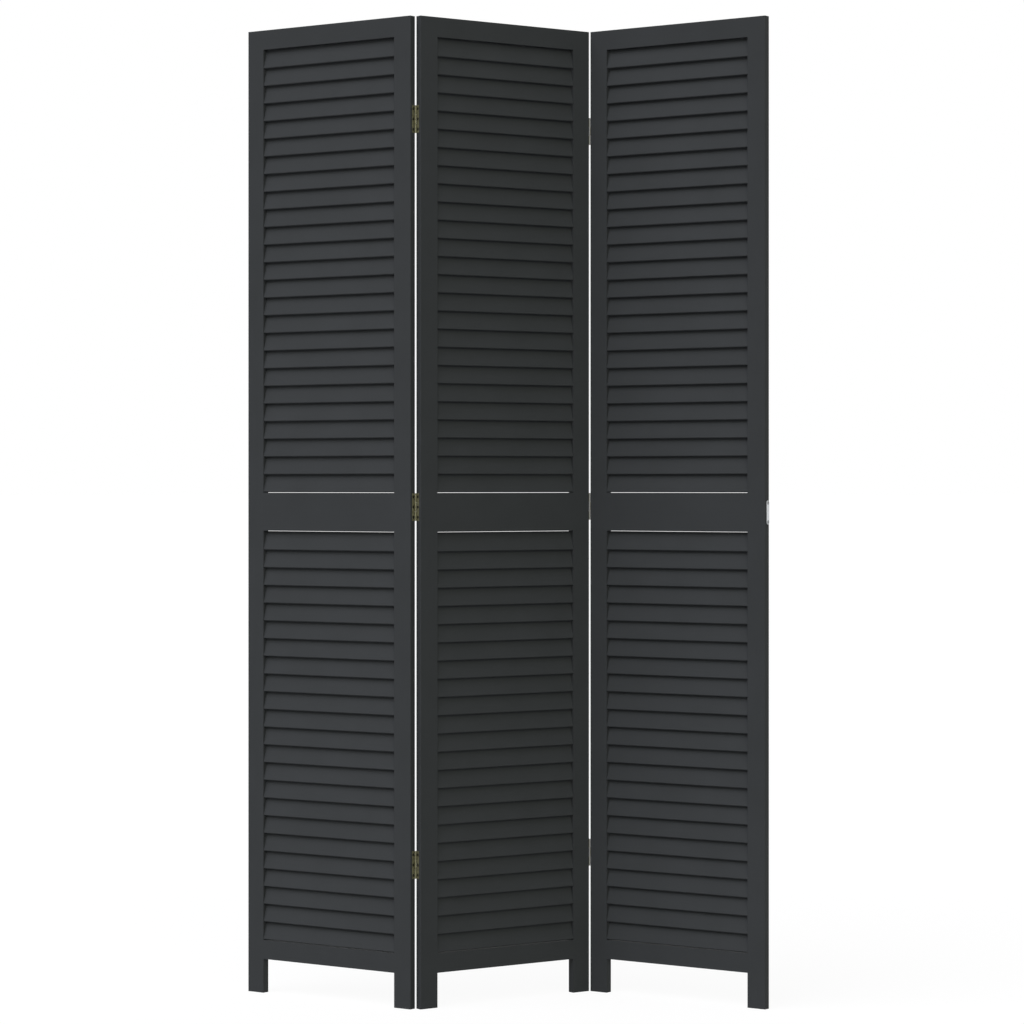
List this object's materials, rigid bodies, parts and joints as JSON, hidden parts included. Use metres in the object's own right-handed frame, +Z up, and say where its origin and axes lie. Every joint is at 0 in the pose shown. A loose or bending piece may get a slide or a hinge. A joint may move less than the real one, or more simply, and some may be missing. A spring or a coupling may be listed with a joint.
{
  "type": "folding screen",
  "caption": "Folding room divider of louvred wooden panels in dark grey paint, joined by butt hinges, that stands in a zigzag on its stile legs and folds flat.",
  "frame": {"origin": "on the floor, at the middle of the standing screen's footprint, under the middle of the centre panel", "axes": "+Z up the panels, +X along the row of panels to the right as seen from the front, +Y to the back, so that the slats' lower edges face -Y"},
  "size_m": [0.8811, 0.2112, 1.65],
  "materials": {
    "painted_wood": "matt dark grey paint on light wood",
    "antique_brass": "dull antique brass plating",
    "zinc_steel": "bright zinc plating"
  },
  "bodies": {
    "centre_panel": {"centre_panel_left_stile": "painted_wood", "centre_panel_right_stile": "painted_wood", "centre_panel_top_rail": "painted_wood", "centre_panel_middle_rail": "painted_wood", "centre_panel_bottom_rail": "painted_wood", "centre_panel_upper_slats": "painted_wood", "centre_panel_lower_slats": "painted_wood", "left_upper_hinge_centre_leaf": "antique_brass", "left_upper_hinge_pin": "antique_brass", "left_middle_hinge_centre_leaf": "antique_brass", "left_middle_hinge_pin": "antique_brass", "left_lower_hinge_centre_leaf": "antique_brass", "left_lower_hinge_pin": "antique_brass", "centre_panel_left_hinge_screws": "antique_brass", "right_upper_hinge_centre_leaf": "antique_brass", "right_upper_hinge_pin": "antique_brass", "right_middle_hinge_centre_leaf": "antique_brass", "right_middle_hinge_pin": "antique_brass", "right_lower_hinge_centre_leaf": "antique_brass", "right_lower_hinge_pin": "antique_brass", "centre_panel_right_hinge_screws": "antique_brass"},
    "left_panel": {"left_panel_left_stile": "painted_wood", "left_panel_right_stile": "painted_wood", "left_panel_top_rail": "painted_wood", "left_panel_middle_rail": "painted_wood", "left_panel_bottom_rail": "painted_wood", "left_panel_upper_slats": "painted_wood", "left_panel_lower_slats": "painted_wood", "left_upper_hinge_wing_leaf": "antique_brass", "left_middle_hinge_wing_leaf": "antique_brass", "left_lower_hinge_wing_leaf": "antique_brass", "left_panel_hinge_screws": "antique_brass"},
    "right_panel": {"right_panel_left_stile": "painted_wood", "right_panel_right_stile": "painted_wood", "right_panel_top_rail": "painted_wood", "right_panel_middle_rail": "painted_wood", "right_panel_bottom_rail": "painted_wood", "right_panel_upper_slats": "painted_wood", "right_panel_lower_slats": "painted_wood", "right_upper_hinge_wing_leaf": "antique_brass", "right_middle_hinge_wing_leaf": "antique_brass", "right_lower_hinge_wing_leaf": "antique_brass", "right_panel_hinge_screws": "antique_brass", "edge_plate": "zinc_steel", "edge_plate_screws": "zinc_steel"}
  },
  "joints": [
    {"name": "left_fold", "type": "hinge", "parent": "centre_panel", "child": "left_panel", "pos_m": [-0.14716, -0.09543, 0], "axis": [0, 0, -1], "range_deg": [-70.5, 109.5]},
    {"name": "right_fold", "type": "hinge", "parent": "centre_panel", "child": "right_panel", "pos_m": [0.14716, 0.09543, 0], "axis": [0, 0, -1], "range_deg": [-70.5, 109.5]}
  ]
}
